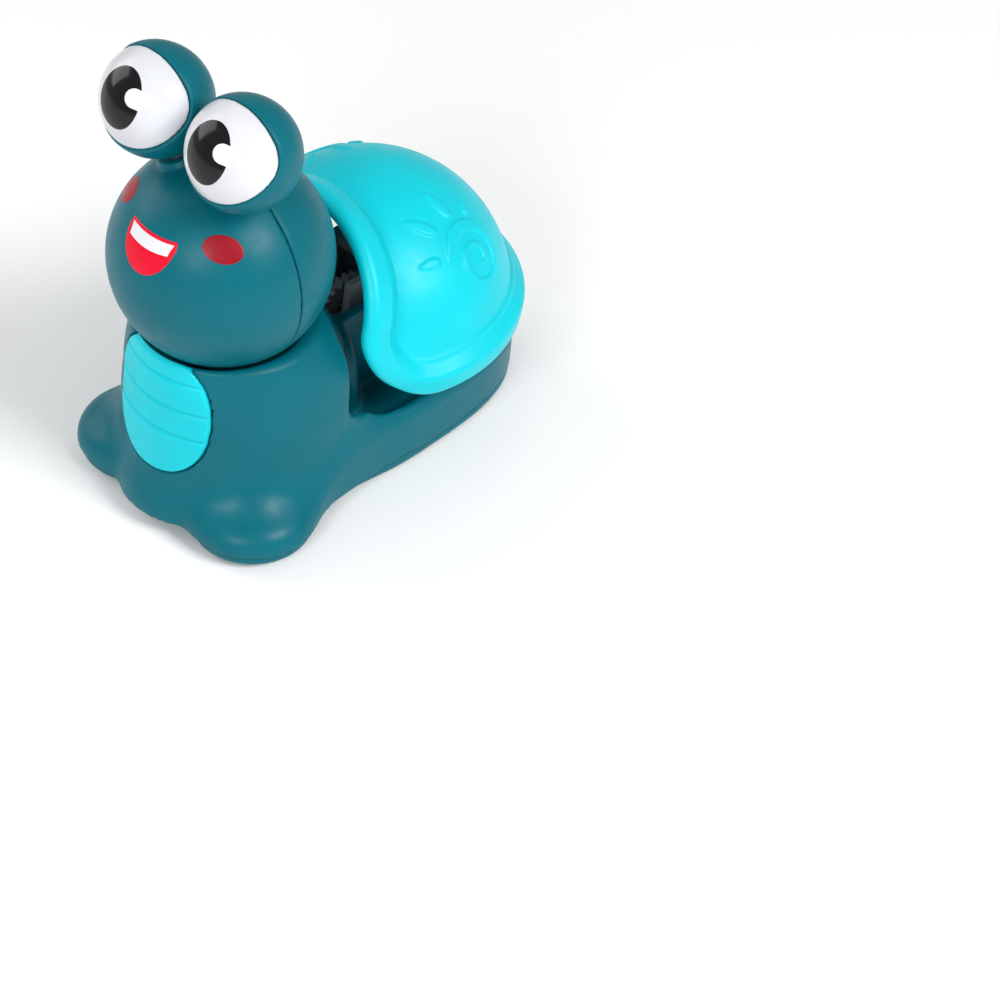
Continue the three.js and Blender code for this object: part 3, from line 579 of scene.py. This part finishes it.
def on_ball(centre, r, axes, across, upwards, lift):
    """Points on a ball at arc lengths across and upwards from where the axes meet it."""
    out, left, up = axes
    arc = np.hypot(across, upwards)
    turn = np.maximum(arc / r, 1e-9)
    side = np.multiply.outer(across, left) + np.multiply.outer(upwards, up)
    side = side / np.maximum(arc, 1e-9)[..., None]
    direction = np.cos(turn)[..., None] * out + np.sin(turn)[..., None] * side
    return np.array(centre) + (r + lift) * direction


def decal(name, outline, ball_at, axes, lift, material, body):
    """A thin print on a ball: rings that shrink to the middle of an outline, with the rim turned down."""
    centre, r = ball_at
    outline = np.array(outline)
    middle = outline.mean(0)
    count = len(outline)
    rings = [(1.0, -0.5), (1.0, 0.6), (0.985, 1.0)] + [(share, 1.0) for share in np.linspace(0.9, 0.1, 9)]
    points = []
    for share, rise in rings:
        flat = middle + (outline - middle) * share
        points.append(on_ball(centre, r, axes, flat[:, 0], flat[:, 1], lift * rise))
    for rise in (1.0, -0.5):
        points.append(on_ball(centre, r, axes, middle[:1], middle[1:], lift * rise))
    last = (len(rings) - 1) * count
    top, under = len(rings) * count, len(rings) * count + 1
    faces = []
    for i in range(count):
        j = (i + 1) % count
        faces += [(k * count + i, k * count + j, (k + 1) * count + j, (k + 1) * count + i)
                  for k in range(len(rings) - 1)]
        faces += [(last + i, last + j, top), (j, i, under)]
    mesh = bpy.data.meshes.new(name)
    mesh.from_pydata([tuple(v) for v in to_metres(np.concatenate(points))], [], faces)
    for polygon in mesh.polygons:
        polygon.use_smooth = True
    outwards = mesh.polygons[len(rings) * 2].normal.dot(Vector(axes[0]))
    if outwards < 0:
        mesh.flip_normals()
    mesh.materials.append(material)
    piece = bpy.data.objects.new(name, mesh)
    bpy.context.scene.collection.objects.link(piece)
    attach(piece, body)
    return piece


def oval(half_across, half_up, tilt=0):
    t = np.linspace(0, 2 * math.pi, 72, endpoint=False)
    across, up = half_across * np.cos(t), half_up * np.sin(t)
    c, s = math.cos(math.radians(tilt)), math.sin(math.radians(tilt))
    return np.stack([across * c - up * s, across * s + up * c], 1)


def pupil(side, black, white):
    """A black oval and the white notch that cuts into its edge from the snail's left."""
    at = (EYES[side], EYE_R - WHITE["sunk"])
    axes = frame_towards(heading(0, PUPIL["height"]))
    outline = oval(PUPIL["across"] * EYE_R, PUPIL["up"] * EYE_R)
    decal(f"pupil_{side}", outline, at, axes, 0.05 * MM, black, f"eye_{side}")
    t = np.linspace(math.pi / 2, 3 * math.pi / 2, 24)
    half, up, edge = GLINT["half"], GLINT["up"], PUPIL["across"] + GLINT["past"]
    inner = edge - GLINT["deep"] + half
    tip = np.stack([inner + half * np.cos(t), up + half * np.sin(t)], 1)
    open_end = np.linspace((edge, up - half), (edge, up + half), 14)
    outline = np.concatenate([tip, open_end]) * EYE_R
    decal(f"pupil_glint_{side}", outline, at, axes, 0.10 * MM, white, f"eye_{side}")


def sagging(across, top, sag):
    """A line of points that sags below its height in the middle of the mouth."""
    return np.stack([across, top - sag * (1 - (across / MOUTH["half"]) ** 2)], 1)


def mouth(red, white):
    axes = frame_towards(heading(0, MOUTH["height"]))
    half = MOUTH["half"]
    t = np.linspace(0.1, math.pi - 0.1, 40)
    jaw = np.stack([half * np.cos(t), -MOUTH["drop"] * np.sin(t) ** 0.8], 1)
    lip = sagging(np.linspace(-0.93 * half, 0.93 * half, 22), 0, MOUTH["sag"])
    decal("mouth_print", np.concatenate([jaw, lip]), (HEAD, 1.0), axes, 0.04 * MM, red, "head")
    across = np.linspace(-half + TEETH["inset"], half - TEETH["inset"], 24)
    upper = sagging(across, TEETH["top"], MOUTH["sag"])
    lower = sagging(across[::-1] * TEETH["taper"], TEETH["low"], TEETH["sag"])
    decal("teeth_print", np.concatenate([upper, lower]), (HEAD, 1.0), axes, 0.08 * MM, white, "head")


def cheeks(red):
    for side, sign in (("left", 1), ("right", -1)):
        axes = frame_towards(heading(sign * CHEEK["azimuth"], CHEEK["height"]))
        outline = oval(CHEEK["long"], CHEEK["high"], sign * -CHEEK["tilt"])
        decal(f"cheek_print_{side}", outline, (HEAD, 1.0), axes, 0.04 * MM, red, "head")


# ---------------------------------------------------------------- spring
def return_spring(material):
    """A round-wire coil in place of the coarse CAD one."""
    lo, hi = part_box("return_spring")
    wire, turns, around, section = 0.0005, 6, 36, 12
    coil = (hi.x - lo.x) / 2 - wire
    centre = ((lo.x + hi.x) / 2, (lo.y + hi.y) / 2)
    bottom, top = lo.z + wire, hi.z - wire
    steps = turns * around
    points, faces = [], []
    for i in range(steps + 1):
        angle = 2 * math.pi * i / around
        out = Vector((math.cos(angle), math.sin(angle), 0))
        middle = Vector((centre[0], centre[1], bottom + (top - bottom) * i / steps)) + out * coil
        for k in range(section):
            turn = 2 * math.pi * k / section
            points.append(middle + wire * (math.cos(turn) * out + math.sin(turn) * Vector((0, 0, 1))))
    for i in range(steps):
        for k in range(section):
            n = (k + 1) % section
            faces.append((i * section + k, i * section + n, (i + 1) * section + n, (i + 1) * section + k))
    faces.append(tuple(range(section))[::-1])
    faces.append(tuple(steps * section + k for k in range(section)))
    mesh = bpy.data.meshes.new("spring_coil")
    mesh.from_pydata(points, [], faces)
    for polygon in mesh.polygons:
        polygon.use_smooth = len(polygon.vertices) == 4
    mesh.materials.append(material)
    piece = bpy.data.objects.new("spring_coil", mesh)
    bpy.context.scene.collection.objects.link(piece)
    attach(piece, "chassis")
    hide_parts("return_spring")
    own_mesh(piece)


# ---------------------------------------------------------------- materials
# Noise scales per metre, and the depth of each grain as (bump strength, height in metres).
MOULD_SCALE, STEEL_SCALE, PRINT_SCALE, GLOSS_SCALE, PAPER_SCALE = 2600, 5200, 3600, 4200, 300
PATCH_SCALE, DRIFT_SCALE = 260, 70
MOULD_DEPTH, STEEL_DEPTH, PRINT_DEPTH = (0.12, 0.00005), (0.25, 0.00004), (0.10, 0.00003)
GLOSS_DEPTH, PAPER_DEPTH = (0.06, 0.00002), (0.03, 0.0002)


def shader(name, colour, roughness, **sockets):
    material = bpy.data.materials.new(name)
    material.use_nodes = True
    bsdf = material.node_tree.nodes["Principled BSDF"]
    bsdf.inputs["Base Color"].default_value = (*colour, 1)
    bsdf.inputs["Roughness"].default_value = roughness
    for socket, value in sockets.items():
        bsdf.inputs[socket.replace("_", " ")].default_value = value
    return material


def link_new(material, kind, **settings):
    node = material.node_tree.nodes.new(kind)
    for key, value in settings.items():
        if key in node.inputs:
            node.inputs[key].default_value = value
        else:
            setattr(node, key, value)
    return node


def noise(material, scale, detail=3.0):
    """Noise that keeps to the object's own metres, so that it moves with the piece."""
    place = link_new(material, "ShaderNodeTexCoord")
    node = link_new(material, "ShaderNodeTexNoise", Scale=scale, Detail=detail)
    material.node_tree.links.new(place.outputs["Object"], node.inputs["Vector"])
    return node.outputs["Fac"]


def ramp(material, value, stops):
    """A blend between two colours, each given with the value where it starts or ends."""
    node = link_new(material, "ShaderNodeValToRGB")
    for element, (position, colour) in zip(node.color_ramp.elements, stops):
        element.position, element.color = position, (*colour, 1)
    material.node_tree.links.new(value, node.inputs["Fac"])
    return node.outputs["Color"]


def grey(value):
    return (value, value, value)


def textured(material, grain_scale, depth, rough, tint=None):
    """Adds a fine grain as bump, patches of roughness and, if given, a slow drift between two colours."""
    links = material.node_tree.links
    bsdf = material.node_tree.nodes["Principled BSDF"]
    bump = link_new(material, "ShaderNodeBump", Strength=depth[0], Distance=depth[1])
    links.new(noise(material, grain_scale, 6), bump.inputs["Height"])
    links.new(bump.outputs["Normal"], bsdf.inputs["Normal"])
    patches = ramp(material, noise(material, PATCH_SCALE, 5), [(0.35, grey(rough[0])), (0.65, grey(rough[1]))])
    links.new(patches, bsdf.inputs["Roughness"])
    if tint:
        drift = ramp(material, noise(material, DRIFT_SCALE), [(0.3, tint[0]), (0.7, tint[1])])
        links.new(drift, bsdf.inputs["Base Color"])
    return material


def moulded_plastic(name, colour, rough, level=0.3):
    base = np.array(colour)
    material = shader(name, colour, rough[0], IOR=1.42, Specular_IOR_Level=level)
    darker, lighter = tuple(base * 0.955), tuple(np.minimum(base * 1.03, 1))
    return textured(material, MOULD_SCALE, MOULD_DEPTH, rough, (darker, lighter))


def plated_steel(name):
    material = shader(name, (0.60, 0.61, 0.63), 0.3, Metallic=1.0)
    return textured(material, STEEL_SCALE, STEEL_DEPTH, (0.22, 0.42), ((0.52, 0.53, 0.55), (0.66, 0.67, 0.68)))


def gloss_ink(name, colour, roughness, **sockets):
    return textured(shader(name, colour, roughness, **sockets), GLOSS_SCALE, GLOSS_DEPTH, (0.10, 0.16))


def print_ink(name, colour, roughness, rough, tint=None, **sockets):
    return textured(shader(name, colour, roughness, **sockets), PRINT_SCALE, PRINT_DEPTH, rough, tint)


TEAL = moulded_plastic("teal_plastic", (0.0, 0.122, 0.160), (0.32, 0.42), 0.22)
CYAN = moulded_plastic("cyan_plastic", (0.0, 0.55, 0.64), (0.36, 0.46))
EYE_WHITE = moulded_plastic("eye_white_plastic", (0.64, 0.65, 0.69), (0.14, 0.20))
INNER = moulded_plastic("inner_plastic", (0.30, 0.31, 0.32), (0.40, 0.52))
WHEEL = moulded_plastic("wheel_plastic", (0.016, 0.018, 0.020), (0.42, 0.60))
STEEL = plated_steel("plated_steel")
PUPIL_INK = gloss_ink("pupil_ink", (0.004, 0.004, 0.005), 0.12, IOR=1.38)
GLINT_INK = gloss_ink("glint_ink", (0.78, 0.785, 0.81), 0.14)
MOUTH_INK = print_ink("mouth_ink", (0.74, 0.003, 0.025), 0.30, (0.26, 0.36),
                      ((0.68, 0.003, 0.022), (0.78, 0.004, 0.030)), Specular_IOR_Level=0.2)
TEETH_INK = print_ink("teeth_ink", (0.76, 0.76, 0.79), 0.30, (0.26, 0.36))
CHEEK_INK = print_ink("cheek_ink", (0.29, 0.002, 0.012), 0.34, (0.28, 0.40),
                      ((0.25, 0.002, 0.010), (0.32, 0.003, 0.015)), Specular_IOR_Level=0.2)

SLOT_FINISH = {"body_colour": TEAL, "shell_colour": CYAN, "eye_white": EYE_WHITE, "inner_plastic": INNER,
               "wheel": WHEEL, "steel": STEEL}


def finish_cad():
    """Gives every CAD node the finish of its slot."""
    for part in frame["record"]["subparts"]:
        node = frame["nodes"][part["node"]]
        node.data.materials.clear()
        node.data.materials.append(SLOT_FINISH[part["material_slot"]])


# ---------------------------------------------------------------- pieces
STEP = {"body": 0.024, "shell": 0.016, "panel": 0.0105, "head": 0.020, "eye": 0.014}     # grid cells
SPARE = 0.15                                        # room round a form that reaches past its CAD node


def build_pieces():
    moulded("body_casing", body_shell, ["body_shell"], STEP["body"], TEAL, "chassis", SPARE)
    moulded("base_casing", base_plate, ["base_plate"], STEP["body"], TEAL, "chassis")
    moulded("belly_inlay", belly_panel, ["belly_panel"], STEP["panel"], CYAN, "chassis", SPARE)
    moulded("shell_dome", snail_shell, ["snail_shell"], STEP["shell"], CYAN, "shell", SPARE)
    moulded("head_shell_front", head_front, ["head_front"], STEP["head"], TEAL, "head")
    moulded("head_shell_back", head_back, ["head_back"], STEP["head"], TEAL, "head")
    for side in SIDES:
        eye = f"eye_{side}"
        moulded(f"lids_{side}", eye_cap(side), [f"eye_cap_{side}"], STEP["eye"], TEAL, eye)
        moulded(f"eyeball_{side}", eye_white(side), [f"eye_white_{side}"], STEP["eye"], EYE_WHITE, eye)
        pupil(side, PUPIL_INK, GLINT_INK)
    mouth(MOUTH_INK, TEETH_INK)
    cheeks(CHEEK_INK)
    return_spring(STEEL)


# ---------------------------------------------------------------- studio
VIEW = {"azimuth": 47.0, "elevation": 37.5, "distance": 20.3}
AIM = (-0.12109, 0.10739)             # where the head's centre lies in the picture: tangents right and up
LENS, SENSOR = 82.8, 36.0


def camera():
    """A long lens at the front left, turned so that the object sits in the upper left of the picture."""
    a, e = math.radians(VIEW["azimuth"]), math.radians(VIEW["elevation"])
    back = Vector((math.sin(a) * math.cos(e), -math.cos(a) * math.cos(e), math.sin(e)))
    side = Vector((0, 0, 1)).cross(back).normalized()
    upright_frame = Matrix((side, back.cross(side), back)).transposed()
    off_centre = Vector((*AIM, -1)).rotation_difference(Vector((0, 0, -1))).to_matrix()
    data = bpy.data.cameras.new("camera")
    data.lens, data.sensor_width = LENS, SENSOR
    data.clip_start, data.clip_end = 0.01, 20
    rig = bpy.data.objects.new("camera", data)
    bpy.context.scene.collection.objects.link(rig)
    place = Vector(to_metres(HEAD)) + back * VIEW["distance"] * R
    rig.matrix_world = Matrix.Translation(place) @ (upright_frame @ off_centre).to_4x4()
    bpy.context.scene.camera = rig


def softbox(name, place, size, power):
    """A rectangular lamp that faces the object, with its place and size in metres and its power in watts."""
    data = bpy.data.lights.new(name, "AREA")
    data.shape, data.size, data.size_y = "RECTANGLE", *size
    data.energy = power
    lamp = bpy.data.objects.new(name, data)
    bpy.context.scene.collection.objects.link(lamp)
    lamp.location = place
    lamp.rotation_mode = "QUATERNION"
    lamp.rotation_quaternion = (Vector((0, 0, 0.05)) - Vector(place)).to_track_quat("-Z", "Y")
    return lamp


def studio():
    bpy.ops.mesh.primitive_plane_add(size=6)
    floor = bpy.context.active_object
    floor.name = "floor"
    paper = shader("floor_paper", (0.90, 0.90, 0.90), 0.85)
    floor.data.materials.append(textured(paper, PAPER_SCALE, PAPER_DEPTH, (0.8, 0.9)))
    softbox("key", (0.85, 0.10, 0.80), (0.45, 0.45), 9.5)
    softbox("front", (0.35, -1.0, 0.70), (0.45, 0.35), 6)
    softbox("fill", (-0.95, -0.30, 0.60), (0.7, 0.7), 4.0)
    world = bpy.data.worlds.new("world")
    bpy.context.scene.world = world
    world.use_nodes = True
    background = world.node_tree.nodes["Background"].inputs
    background["Color"].default_value = (1, 1, 1, 1)
    background["Strength"].default_value = 0.45
    bpy.context.scene.view_settings.view_transform = "Standard"


finish_cad()
build_pieces()
camera()
studio()
